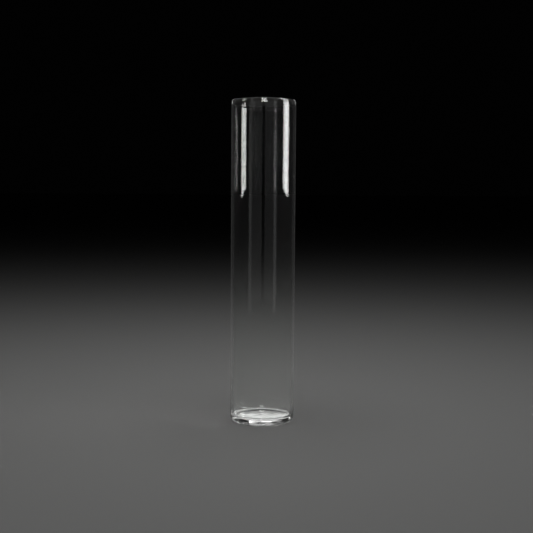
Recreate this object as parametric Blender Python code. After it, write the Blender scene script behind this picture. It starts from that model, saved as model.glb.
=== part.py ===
"""Flat-bottomed glass specimen tube: a straight drawn-glass wall, closed by a fused flat base and
open at the top in a fire-polished rim. The whole tube is one piece of glass, turned about +Z.
The origin is at the centre of the base, on the surface that the tube stands on. Units are metres.
"""

import math

import bmesh
import bpy

# Driving dimensions.
TUBE_LENGTH = 0.125
OUTER_RADIUS = 0.0125
WALL = 0.0011

# Rim: fire polishing rounds the cut edge. The outside tapers in over a long curve, and the
# inside is rounded much less.
LIP_OUTER_HEIGHT = 0.0030
LIP_INNER_WIDTH = 0.00035
LIP_INNER_HEIGHT = 0.00050

# Base: a flat disc of thicker glass with a rounded heel outside and a fillet inside.
BASE_THICKNESS = 0.0020
HEEL_RADIUS = 0.0014
FLOOR_FILLET = 0.0013
BEARING_WIDTH = 0.0013  # flat ring that the tube stands on, just inside the heel
PUSH_UP = 0.00025  # how far the underside rises towards its middle

# How finely the glass is faceted.
TURN_STEPS = 96
ARC_STEPS = 6
LIP_OUTER_STEPS = 10
LIP_INNER_STEPS = 6
WALL_STEPS = 5
DISH_STEPS = 4

GLASS_COLOR = (0.96, 0.98, 0.97, 1.0)
GLASS_ROUGHNESS = 0.02
GLASS_IOR = 1.473

INNER_RADIUS = OUTER_RADIUS - WALL
CREST_RADIUS = INNER_RADIUS + LIP_INNER_WIDTH
LIP_OUTER_WIDTH = OUTER_RADIUS - CREST_RADIUS


def arc(centre, half_width, half_height, start, end, steps):
    """Points (r, z) along an elliptical arc, both ends included. Angles are in degrees, from
    the +r direction towards +Z."""
    turns = [math.radians(start + (end - start) * i / steps) for i in range(steps + 1)]
    return [
        (centre[0] + half_width * math.cos(a), centre[1] + half_height * math.sin(a))
        for a in turns
    ]


def straight(start, end, steps):
    """Points (r, z) on the line from start to end, without the two ends."""
    return [
        (start[0] + (end[0] - start[0]) * i / steps, start[1] + (end[1] - start[1]) * i / steps)
        for i in range(1, steps)
    ]


def dish(rise, base, rim_radius, steps):
    """Points (r, z) of a shallow dome from near the axis out to rim_radius, which lies at base."""
    radii = [rim_radius * i / steps for i in range(1, steps + 1)]
    return [(r, base + rise * (1 - (r / rim_radius) ** 2)) for r in radii]


def glass_profile():
    """The glass's outline from the middle of the underside, up the outside, over the rim and
    down the inside to the middle of the floor. Its first and last points lie on the axis."""
    bearing_outer = OUTER_RADIUS - HEEL_RADIUS
    heel_top = (OUTER_RADIUS, HEEL_RADIUS)
    lip_outer_centre = (CREST_RADIUS, TUBE_LENGTH - LIP_OUTER_HEIGHT)
    lip_inner_centre = (CREST_RADIUS, TUBE_LENGTH - LIP_INNER_HEIGHT)
    lip_outer_foot = (OUTER_RADIUS, TUBE_LENGTH - LIP_OUTER_HEIGHT)
    inner_top = (INNER_RADIUS, TUBE_LENGTH - LIP_INNER_HEIGHT)
    fillet_centre = (INNER_RADIUS - FLOOR_FILLET, BASE_THICKNESS + FLOOR_FILLET)
    fillet_top = (INNER_RADIUS, BASE_THICKNESS + FLOOR_FILLET)

    points = [(0.0, PUSH_UP)]
    points += dish(PUSH_UP, 0.0, bearing_outer - BEARING_WIDTH, DISH_STEPS)
    points += arc((bearing_outer, HEEL_RADIUS), HEEL_RADIUS, HEEL_RADIUS, -90, 0, ARC_STEPS)
    points += straight(heel_top, lip_outer_foot, WALL_STEPS)
    points += arc(lip_outer_centre, LIP_OUTER_WIDTH, LIP_OUTER_HEIGHT, 0, 90, LIP_OUTER_STEPS)
    points += arc(lip_inner_centre, LIP_INNER_WIDTH, LIP_INNER_HEIGHT, 90, 180, LIP_INNER_STEPS)[1:]
    points += straight(inner_top, fillet_top, WALL_STEPS)
    points += arc(fillet_centre, FLOOR_FILLET, FLOOR_FILLET, 0, -90, ARC_STEPS)
    points += [(0.0, BASE_THICKNESS)]
    return points


def turned_mesh(name, points, steps):
    """A closed mesh turned about Z from an outline whose two ends lie on the axis."""
    mesh = bpy.data.meshes.new(name)
    body = bmesh.new()
    bottom = body.verts.new((0.0, 0.0, points[0][1]))
    top = body.verts.new((0.0, 0.0, points[-1][1]))
    rings = []
    for radius, height in points[1:-1]:
        angles = [2 * math.pi * i / steps for i in range(steps)]
        rings.append(
            [body.verts.new((radius * math.cos(a), radius * math.sin(a), height)) for a in angles]
        )
    for i in range(steps):
        j = (i + 1) % steps
        body.faces.new((bottom, rings[0][j], rings[0][i]))
        body.faces.new((top, rings[-1][i], rings[-1][j]))
        for lower, upper in zip(rings, rings[1:]):
            body.faces.new((lower[i], lower[j], upper[j], upper[i]))
    body.normal_update()
    body.to_mesh(mesh)
    body.free()
    mesh.shade_smooth()
    mesh.set_sharp_from_angle(angle=math.radians(35))
    return mesh


def glass_material():
    """Clear colourless laboratory glass."""
    material = bpy.data.materials.new("clear_glass")
    material.use_nodes = True
    shader = material.node_tree.nodes["Principled BSDF"]
    shader.inputs["Base Color"].default_value = GLASS_COLOR
    shader.inputs["Metallic"].default_value = 0.0
    shader.inputs["Roughness"].default_value = GLASS_ROUGHNESS
    shader.inputs["IOR"].default_value = GLASS_IOR
    shader.inputs["Transmission Weight"].default_value = 1.0
    return material


def main():
    for old in list(bpy.data.objects):
        bpy.data.objects.remove(old)
    mesh = turned_mesh("glass_tube", glass_profile(), TURN_STEPS)
    mesh.materials.append(glass_material())
    tube = bpy.data.objects.new("glass_tube", mesh)
    bpy.context.scene.collection.objects.link(tube)


main()
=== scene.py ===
"""Looks for the flat-bottomed specimen tube: a fine glass mesh in place of the faceted CAD solid,
its glass material, a pale floor, soft studio lights and the camera. Units are metres, and the
frame is the CAD model's: origin at the centre of the base, +Z up, camera towards -Y.
"""

import math

import bpy
import numpy as np
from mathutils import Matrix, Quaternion, Vector


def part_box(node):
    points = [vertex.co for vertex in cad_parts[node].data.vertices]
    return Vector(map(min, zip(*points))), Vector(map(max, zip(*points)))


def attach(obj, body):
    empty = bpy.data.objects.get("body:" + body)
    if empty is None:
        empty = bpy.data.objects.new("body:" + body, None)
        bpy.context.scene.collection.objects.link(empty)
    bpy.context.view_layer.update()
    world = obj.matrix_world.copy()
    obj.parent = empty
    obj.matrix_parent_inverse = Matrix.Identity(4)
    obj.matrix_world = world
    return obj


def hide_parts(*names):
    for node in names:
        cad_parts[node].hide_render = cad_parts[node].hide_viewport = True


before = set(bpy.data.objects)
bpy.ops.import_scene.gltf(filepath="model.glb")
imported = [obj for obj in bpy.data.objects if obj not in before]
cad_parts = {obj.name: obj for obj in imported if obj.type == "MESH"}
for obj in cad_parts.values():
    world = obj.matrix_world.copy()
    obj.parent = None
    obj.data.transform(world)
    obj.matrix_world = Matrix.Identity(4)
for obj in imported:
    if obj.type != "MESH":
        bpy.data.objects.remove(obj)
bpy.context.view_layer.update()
tube_low, tube_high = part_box("glass_tube")

# Shape of the glass, as the CAD model has it.
LENGTH = tube_high.z - tube_low.z
OUTER_RADIUS = (tube_high.x - tube_low.x) / 2
WALL = 0.0011
INNER_RADIUS = OUTER_RADIUS - WALL
LIP_OUTER_HEIGHT = 0.0030
LIP_INNER_WIDTH = 0.00035
LIP_INNER_HEIGHT = 0.00050
CREST_RADIUS = INNER_RADIUS + LIP_INNER_WIDTH
BASE_THICKNESS = 0.0020
HEEL_RADIUS = 0.0014
FLOOR_FILLET = 0.0013
BEARING_WIDTH = 0.0013
PUSH_UP = 0.00025
DISH_RADIUS = OUTER_RADIUS - HEEL_RADIUS - BEARING_WIDTH

# How finely the shown glass is divided.
TURN_STEPS = 256
ARC_STEPS = 18
LIP_OUTER_STEPS = 28
LIP_INNER_STEPS = 12
WALL_STEPS = 48
DISC_STEPS = 20
BEARING_STEPS = 5

# Unevenness of real glass: the drawn wall is nearly true, and the flame-worked base is less so.
WALL_WAVE = 0.0000015
BASE_WAVE = 0.00005
CORNER_WAVE = 0.00004
CALM_RADIUS = 0.002  # the inside floor's waves fade out towards its middle, from this radius

# The waves themselves, each (turns round the tube, radians per metre, phase, weight).
WALL_WAVES = [(2, 31, 0.4, 3.0), (3, -57, 1.9, 2.0), (5, 88, 4.1, 1.2), (9, 22, 2.7, 0.7)]
INNER_WAVES = [(2, -40, 2.2, 3.0), (4, 63, 0.7, 2.0), (7, -96, 3.3, 1.0), (11, 35, 5.1, 0.6)]
FLOOR_WAVES = [(1, 160, 0.9, 2.0), (2, -330, 2.6, 2.0), (3, 520, 4.4, 1.4), (5, 260, 1.3, 0.7)]
UNDER_WAVES = [(1, -210, 3.7, 2.0), (3, 300, 0.2, 1.6), (4, -560, 5.0, 1.0)]
CORNER_WAVES = [(5, 0, 1.1, 1.0), (9, 400, 3.9, 1.4), (14, -300, 0.5, 1.2), (23, 0, 2.3, 0.5)]

# The glass, and the faint draw lines that run along it.
GLASS_COLOUR = (0.985, 0.992, 0.985, 1.0)
GLASS_IOR = 1.473
DRAW_LINE_SCALE = 700
DRAW_LINE_STRETCH = (1, 1, 0.004)
DRAW_LINE_STRENGTH = 0.01
DRAW_LINE_DEPTH = 0.00002

# The dried film on the glass: shares of the surface that it covers, and where it is denser.
FILM_EVERYWHERE = 0.003
FILM_SMEARS = 0.010
FILM_BELOW_LINE = 0.006
FILM_LINE = 0.012
FILM_DROP = 0.03
FILM_DUST = 0.35
FILM_ROUGHNESS = 0.5
LIQUID_LINE = 0.0245
LIQUID_LINE_WIDTH = 0.00035
LIQUID_LINE_WANDER = 0.0006
STAIN_STARTS = LIQUID_LINE + 0.0001
STAIN_FULL = LIQUID_LINE - 0.0002
DRIED_DROP = (-0.0081, -0.0095, 0.0340)
DRIED_DROP_RADIUS = 0.0013
DRIED_DROP_EDGE = 0.0004

# The patterns in the film. The larger a scale, the finer the pattern, and a range is the part of a
# pattern's values over which the film goes from nothing to full.
SMEAR_SCALE = 90
SMEAR_STRETCH = (1, 1, 0.35)
SMEAR_RANGE = (0.52, 0.80)
GRAIN_SCALE = 1400
GRAIN_RANGE = (0.25, 0.75)
WANDER_SCALE = 160
DUST_SCALE = 260
DUST_SHARE = 0.05
DUST_RANGE = (0.09, 0.04)

# The floor: a pale matt surface with a very fine tooth. The tube stands a hair above it.
FLOOR_HALF_WIDTH = 30.0
FLOOR_GAP = 0.00005
FLOOR_COLOUR = (0.44, 0.44, 0.435, 1.0)
FLOOR_ROUGHNESS = 0.75
FLOOR_SPECULAR = 0.25
TOOTH_SCALE = 900
TOOTH_STRENGTH = 0.08
TOOTH_DEPTH = 0.0001

# Upright lights round the glass. Azimuths and tilts are in degrees, with azimuth 0 towards the
# camera and 90 towards +X. Brightness is a radiance.
# Softboxes: name, azimuth, distance, bottom, width, height, brightness, tilt.
SOFTBOXES = [
    ("key_softbox", 90.5, 0.40, 0.0885, 0.172, 0.70, 7.5, -3.0),
    ("front_strip", 1.5, 1.2, 0.50, 0.42, 1.5, 11.0, 0.0),
    ("back_softbox", 178.0, 4.0, 0.90, 1.9, 0.32, 2.0, 0.0),
    ("back_card", 182.0, 4.0, 0.70, 4.4, 0.22, 0.9, 0.0),
]
# Dim cards that stand on the floor: name, azimuth, distance, width, brightness.
EDGE_CARDS = [
    ("left_edge_card", -142.0, 0.09, 0.06, 0.055),
    ("right_edge_card", 142.0, 0.09, 0.06, 0.055),
]
SHEEN_CARDS = [
    ("left_card", -46.0, 0.35, 0.07, 0.30),
    ("right_card", 41.5, 0.35, 0.06, 0.45),
    ("front_left_card", -28.0, 0.42, 0.36, 0.17),
    ("front_right_card", 28.0, 0.42, 0.36, 0.17),
    ("side_left_card", -93.0, 0.50, 0.90, 0.05),
    ("side_right_card", 93.0, 0.50, 0.90, 0.05),
]
CARD_HEIGHT = 1.0

# The round light under the base, which lies between the tube and the floor.
BASE_LIGHT_BRIGHTNESS = 0.40
BASE_LIGHT_SPREAD = 160.0
BASE_LIGHT_MARGIN = 0.0012  # how far it reaches beyond the tube
BASE_LIGHT_GAP = 0.00003

# The round overhead light, which lights the floor only.
FLOOR_LIGHT_BRIGHTNESS = 2.4
FLOOR_LIGHT_SIZE = 0.30
FLOOR_LIGHT_HEIGHT = 0.42

WORLD_COLOUR = (0.0005, 0.0005, 0.0005, 1.0)

CAMERA_LENS = 62.65
CAMERA_SENSOR = 36.0
CAMERA_DISTANCE = 0.3625
CAMERA_ELEVATION = 4.30
CAMERA_ROLL = 0.384
CAMERA_AIM = Vector((0.00144, 0.0, -0.0018))  # from the middle of the tube
CAMERA_NEAR = 0.01
CAMERA_FAR = 50.0

# Light passes many surfaces of clear glass before it leaves.
MAX_BOUNCES = 24
GLOSSY_BOUNCES = 16


def arc(centre, half_width, half_height, start, end, steps):
    """Points (r, z) along an elliptical arc, both ends included, angles in degrees."""
    turns = np.radians(np.linspace(start, end, steps + 1))
    return [
        (centre[0] + half_width * math.cos(a), centre[1] + half_height * math.sin(a))
        for a in turns
    ]


def between(start, end, steps):
    """Points (r, z) on the line from start to end, without the two ends."""
    made = []
    for i in range(1, steps):
        t = i / steps
        made.append((start[0] + (end[0] - start[0]) * t, start[1] + (end[1] - start[1]) * t))
    return made


def underside():
    """Points (r, z) from the middle of the underside to the inner edge of the bearing ring."""
    points = [(0.0, PUSH_UP)]
    for i in range(1, DISC_STEPS + 1):
        share = i / DISC_STEPS
        points.append((DISH_RADIUS * share, PUSH_UP * (1 - share**2)))
    return points


def glass_profile():
    """The outline from the middle of the underside, up the outside, over the rim and down the
    inside to the middle of the floor."""
    heel_centre = (OUTER_RADIUS - HEEL_RADIUS, HEEL_RADIUS)
    heel_top = (OUTER_RADIUS, HEEL_RADIUS)
    lip_foot = (OUTER_RADIUS, LENGTH - LIP_OUTER_HEIGHT)
    lip_outer = (CREST_RADIUS, LENGTH - LIP_OUTER_HEIGHT)
    lip_inner = (CREST_RADIUS, LENGTH - LIP_INNER_HEIGHT)
    inner_top = (INNER_RADIUS, LENGTH - LIP_INNER_HEIGHT)
    fillet_centre = (INNER_RADIUS - FLOOR_FILLET, BASE_THICKNESS + FLOOR_FILLET)
    fillet_top = (INNER_RADIUS, BASE_THICKNESS + FLOOR_FILLET)
    floor_middle = (0.0, BASE_THICKNESS)

    points = underside()
    points += between((DISH_RADIUS, 0.0), (heel_centre[0], 0.0), BEARING_STEPS)
    points += arc(heel_centre, HEEL_RADIUS, HEEL_RADIUS, -90, 0, ARC_STEPS)
    points += between(heel_top, lip_foot, WALL_STEPS)
    points += arc(lip_outer, OUTER_RADIUS - CREST_RADIUS, LIP_OUTER_HEIGHT, 0, 90, LIP_OUTER_STEPS)
    points += arc(lip_inner, LIP_INNER_WIDTH, LIP_INNER_HEIGHT, 90, 180, LIP_INNER_STEPS)[1:]
    points += between(inner_top, fillet_top, WALL_STEPS)
    points += arc(fillet_centre, FLOOR_FILLET, FLOOR_FILLET, 0, -90, ARC_STEPS)
    points += between((fillet_centre[0], BASE_THICKNESS), floor_middle, DISC_STEPS)
    points += [floor_middle]
    return points


def wave(angle, along, waves):
    """The waves summed at one place on the glass, scaled to lie between -1 and 1."""
    swing = 0.0
    total = 0.0
    for turns, per_metre, phase, weight in waves:
        swing += weight * math.sin(turns * angle + per_metre * along + phase)
        total += weight
    return swing / total


def uneven_wall(radius, height, angle, outside):
    """A point of the wall, moved inwards by up to twice WALL_WAVE."""
    top_fade = min(1.0, (LENGTH - height) / LIP_OUTER_HEIGHT)
    waves = WALL_WAVES if outside else INNER_WAVES
    return radius + WALL_WAVE * top_fade * (wave(angle, height, waves) - 1.0), height


def uneven_base(radius, height, angle, outside):
    """A point of the base: its corner is moved inwards, and its two flat faces up and down."""
    corner = HEEL_RADIUS if outside else FLOOR_FILLET
    above = height if outside else height - BASE_THICKNESS
    in_corner = math.sin(math.pi * min(1.0, max(0.0, above / corner)))
    radius += CORNER_WAVE * in_corner * (wave(angle, height, CORNER_WAVES) - 1.0)
    if outside:
        waves = UNDER_WAVES
        fade = max(0.0, 1 - (radius / DISH_RADIUS) ** 2)
    else:
        waves = FLOOR_WAVES
        fade = min(1.0, radius / CALM_RADIUS) * min(1.0, (INNER_RADIUS - radius) / FLOOR_FILLET)
    return radius, height + BASE_WAVE * fade * wave(angle, radius, waves)


def uneven(radius, height, angle, outside):
    """The point moved by the slight unevenness of the glass. It never moves out of the box."""
    base_top = HEEL_RADIUS if outside else BASE_THICKNESS + FLOOR_FILLET
    if height > base_top:
        return uneven_wall(radius, height, angle, outside)
    return uneven_base(radius, height, angle, outside)


def turned_glass(name):
    """The closed fine mesh of the tube, turned about Z with the unevenness added."""
    points = glass_profile()
    crest = max(range(len(points)), key=lambda i: points[i][1])
    angles = [2 * math.pi * i / TURN_STEPS for i in range(TURN_STEPS)]
    verts = [(0.0, 0.0, points[0][1]), (0.0, 0.0, points[-1][1])]
    first_ring = len(verts)
    for i, (radius, height) in enumerate(points[1:-1], start=1):
        for angle in angles:
            r, z = uneven(radius, height, angle, i <= crest)
            verts.append((r * math.cos(angle), r * math.sin(angle), z))
    last_ring = len(verts) - TURN_STEPS
    faces = []
    for i in range(TURN_STEPS):
        j = (i + 1) % TURN_STEPS
        faces.append((0, first_ring + j, first_ring + i))
        faces.append((1, last_ring + i, last_ring + j))
        for lower in range(first_ring, last_ring, TURN_STEPS):
            upper = lower + TURN_STEPS
            faces.append((lower + i, lower + j, upper + j, upper + i))
    mesh = bpy.data.meshes.new(name)
    mesh.from_pydata(verts, [], faces)
    mesh.update()
    mesh.shade_smooth()
    return mesh


def add_object(name, data):
    made = bpy.data.objects.new(name, data)
    bpy.context.scene.collection.objects.link(made)
    return made


class Nodes:
    """Short calls for building one material's nodes."""

    def __init__(self, name):
        self.material = bpy.data.materials.new(name)
        self.material.use_nodes = True
        self.tree = self.material.node_tree
        self.shader = self.tree.nodes["Principled BSDF"]
        self.place = self.add("ShaderNodeTexCoord").outputs["Object"]

    def add(self, kind, **values):
        node = self.tree.nodes.new(kind)
        for key, value in values.items():
            setattr(node, key, value)
        return node

    def link(self, output, target):
        self.tree.links.new(output, target)

    def set(self, name, value):
        """Sets a constant, or links an output, to one of the shader's inputs."""
        self.feed(self.shader.inputs[name], value)

    def feed(self, target, value):
        if isinstance(value, bpy.types.NodeSocket):
            self.link(value, target)
        else:
            target.default_value = value

    def calculate(self, operation, *values):
        node = self.add("ShaderNodeMath", operation=operation)
        for slot, value in enumerate(values):
            self.feed(node.inputs[slot], value)
        return node.outputs["Value"]

    def plus(self, first, second):
        return self.calculate("ADD", first, second)

    def times(self, first, second):
        return self.calculate("MULTIPLY", first, second)

    def apart(self, first, second):
        """How far two values are from each other."""
        return self.calculate("ABSOLUTE", self.calculate("SUBTRACT", first, second))

    def height(self):
        node = self.add("ShaderNodeSeparateXYZ")
        self.link(self.place, node.inputs["Vector"])
        return node.outputs["Z"]

    def noise(self, scale, detail, stretch=(1, 1, 1)):
        mapping = self.add("ShaderNodeMapping")
        mapping.inputs["Scale"].default_value = stretch
        self.link(self.place, mapping.inputs["Vector"])
        node = self.add("ShaderNodeTexNoise")
        node.inputs["Scale"].default_value = scale
        node.inputs["Detail"].default_value = detail
        self.link(mapping.outputs["Vector"], node.inputs["Vector"])
        return node.outputs["Fac"]

    def distance(self, point):
        node = self.add("ShaderNodeVectorMath", operation="DISTANCE")
        self.link(self.place, node.inputs[0])
        node.inputs[1].default_value = point
        return node.outputs["Value"]

    def specks(self, scale, share, span):
        """Small round specks in a share of the cells of that scale. span is how far from its
        middle a speck starts and is full, in cells."""
        node = self.add("ShaderNodeTexVoronoi")
        node.inputs["Scale"].default_value = scale
        self.link(self.place, node.inputs["Vector"])
        chosen = self.calculate("LESS_THAN", self.red(node.outputs["Color"]), share)
        return self.times(chosen, self.ramp(node.outputs["Distance"], *span))

    def red(self, colour):
        node = self.add("ShaderNodeSeparateColor")
        self.link(colour, node.inputs["Color"])
        return node.outputs["Red"]

    def ramp(self, value, low, high):
        """value from low to high, smoothly, as 0 to 1."""
        node = self.add("ShaderNodeMapRange", interpolation_type="SMOOTHSTEP")
        node.inputs["From Min"].default_value = low
        node.inputs["From Max"].default_value = high
        self.link(value, node.inputs["Value"])
        return node.outputs["Result"]

    def bump(self, height, strength, depth):
        node = self.add("ShaderNodeBump")
        node.inputs["Strength"].default_value = strength
        node.inputs["Distance"].default_value = depth
        self.link(height, node.inputs["Height"])
        self.link(node.outputs["Normal"], self.shader.inputs["Normal"])


def film_cover(made):
    """The share of the surface that the dried film covers: denser below an old liquid line, in
    handling smears, in one dried drop and in fine specks of dust."""
    smears = made.ramp(made.noise(SMEAR_SCALE, 4.0, SMEAR_STRETCH), *SMEAR_RANGE)
    wander = made.times(made.noise(WANDER_SCALE, 2.0), LIQUID_LINE_WANDER)
    height = made.plus(made.height(), wander)
    below = made.ramp(height, STAIN_STARTS, STAIN_FULL)
    line = made.ramp(made.apart(height, LIQUID_LINE), LIQUID_LINE_WIDTH, 0.0)
    from_drop_edge = made.apart(made.distance(DRIED_DROP), DRIED_DROP_RADIUS)
    drop = made.ramp(from_drop_edge, DRIED_DROP_EDGE, 0.0)
    cover = made.plus(FILM_EVERYWHERE, made.times(smears, FILM_SMEARS))
    cover = made.plus(cover, made.times(below, FILM_BELOW_LINE))
    cover = made.plus(cover, made.times(line, FILM_LINE))
    cover = made.plus(cover, made.times(drop, FILM_DROP))
    cover = made.times(cover, made.ramp(made.noise(GRAIN_SCALE, 3.0), *GRAIN_RANGE))
    dust = made.specks(DUST_SCALE, DUST_SHARE, DUST_RANGE)
    return made.plus(cover, made.times(dust, FILM_DUST))


def glass_material():
    """Clear colourless glass with a thin dried film on it. Where the film covers the glass, less
    light passes straight through and the surface is rougher."""
    made = Nodes("clear_glass_fine")
    made.set("Base Color", GLASS_COLOUR)
    made.set("IOR", GLASS_IOR)
    made.set("Transmission Weight", 1.0)  # for anything that reads only the unlinked value
    cover = film_cover(made)
    made.set("Transmission Weight", made.calculate("SUBTRACT", 1.0, cover))
    made.set("Roughness", made.times(cover, FILM_ROUGHNESS))
    lines = made.noise(DRAW_LINE_SCALE, 2.0, DRAW_LINE_STRETCH)
    made.bump(lines, DRAW_LINE_STRENGTH, DRAW_LINE_DEPTH)
    return made.material


def floor_material():
    """A pale matt studio surface with a very fine tooth."""
    made = Nodes("studio_floor")
    made.set("Base Color", FLOOR_COLOUR)
    made.set("Roughness", FLOOR_ROUGHNESS)
    made.set("Specular IOR Level", FLOOR_SPECULAR)
    made.bump(made.noise(TOOTH_SCALE, 4.0), TOOTH_STRENGTH, TOOTH_DEPTH)
    return made.material


def add_floor():
    half = FLOOR_HALF_WIDTH
    z = tube_low.z - FLOOR_GAP
    mesh = bpy.data.meshes.new("floor")
    corners = [(-half, -half, z), (half, -half, z), (half, half, z), (-half, half, z)]
    mesh.from_pydata(corners, [], [(0, 1, 2, 3)])
    mesh.materials.append(floor_material())
    floor = add_object("floor", mesh)
    return floor


def area_lamp(name, shape, width, height, brightness, piece):
    """A soft light that the camera doesn't see. It lights one piece only, as a flag and a grid
    would keep it off the rest. A disk takes its width as its diameter."""
    light = bpy.data.lights.new(name, "AREA")
    light.shape = shape
    light.size = width
    light.size_y = height
    area = width * height if shape == "RECTANGLE" else math.pi * (width / 2) ** 2
    light.energy = brightness * math.pi * area
    lamp = add_object(name, light)
    lamp.visible_camera = False
    lit = bpy.data.collections.new(name + "_lights")
    lit.objects.link(piece)
    lamp.light_linking.receiver_collection = lit
    return lamp


def softbox(name, azimuth, distance, bottom, width, height, brightness, tilt, piece):
    """An upright rectangular light that faces the tube."""
    lamp = area_lamp(name, "RECTANGLE", width, height, brightness, piece)
    a = math.radians(azimuth)
    place = Vector((math.sin(a), -math.cos(a), 0.0)) * distance
    facing = (-place).to_track_quat("-Z", "Y")
    lamp.rotation_mode = "QUATERNION"
    lamp.rotation_quaternion = facing @ Quaternion((0, 0, 1), math.radians(tilt))
    lamp.location = place + Vector((0, 0, bottom + height / 2))
    return lamp


def card(name, azimuth, distance, width, brightness, piece):
    """A dim upright card, standing on the floor, that shows only as a sheen on the piece."""
    lamp = softbox(name, azimuth, distance, 0.0, width, CARD_HEIGHT, brightness, 0.0, piece)
    lamp.visible_transmission = False


def base_light(piece):
    """A round light a little wider than the tube, lying under the base and shining up into it."""
    size = 2 * (OUTER_RADIUS + BASE_LIGHT_MARGIN)
    lamp = area_lamp("base_light", "DISK", size, size, BASE_LIGHT_BRIGHTNESS, piece)
    lamp.data.spread = math.radians(BASE_LIGHT_SPREAD)
    lamp.location = (0.0, 0.0, tube_low.z - BASE_LIGHT_GAP)
    lamp.rotation_euler = (math.pi, 0.0, 0.0)


def floor_light(floor):
    """A round light overhead that makes a soft pool of light on the floor round the tube."""
    size = FLOOR_LIGHT_SIZE
    lamp = area_lamp("floor_light", "DISK", size, size, FLOOR_LIGHT_BRIGHTNESS, floor)
    lamp.location = (0.0, 0.0, FLOOR_LIGHT_HEIGHT)


def add_lights(glass, floor):
    for row in EDGE_CARDS:
        card(*row, glass)
    for row in SOFTBOXES:
        softbox(*row, glass)
    base_light(glass)
    floor_light(floor)
    for row in SHEEN_CARDS:
        card(*row, glass)
    world = bpy.data.worlds.new("studio")
    world.use_nodes = True
    world.node_tree.nodes["Background"].inputs["Color"].default_value = WORLD_COLOUR
    bpy.context.scene.world = world


def add_camera():
    data = bpy.data.cameras.new("camera")
    data.lens = CAMERA_LENS
    data.sensor_width = CAMERA_SENSOR
    data.clip_start = CAMERA_NEAR
    data.clip_end = CAMERA_FAR
    camera = add_object("camera", data)
    middle = (tube_low + tube_high) / 2
    e = math.radians(CAMERA_ELEVATION)
    camera.location = middle + CAMERA_DISTANCE * Vector((0, -math.cos(e), math.sin(e)))
    looking = (middle + CAMERA_AIM - camera.location).to_track_quat("-Z", "Y")
    camera.rotation_mode = "QUATERNION"
    camera.rotation_quaternion = looking @ Quaternion((0, 0, 1), math.radians(CAMERA_ROLL))
    bpy.context.scene.camera = camera


def set_rendering():
    scene = bpy.context.scene
    scene.view_settings.view_transform = "Standard"
    scene.cycles.max_bounces = MAX_BOUNCES
    scene.cycles.transmission_bounces = MAX_BOUNCES
    scene.cycles.glossy_bounces = GLOSSY_BOUNCES


glass = add_object("tube_glass", turned_glass("tube_glass"))
glass.data.materials.append(glass_material())
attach(glass, "root")
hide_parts("glass_tube")

floor = add_floor()
add_camera()
add_lights(glass, floor)
set_rendering()
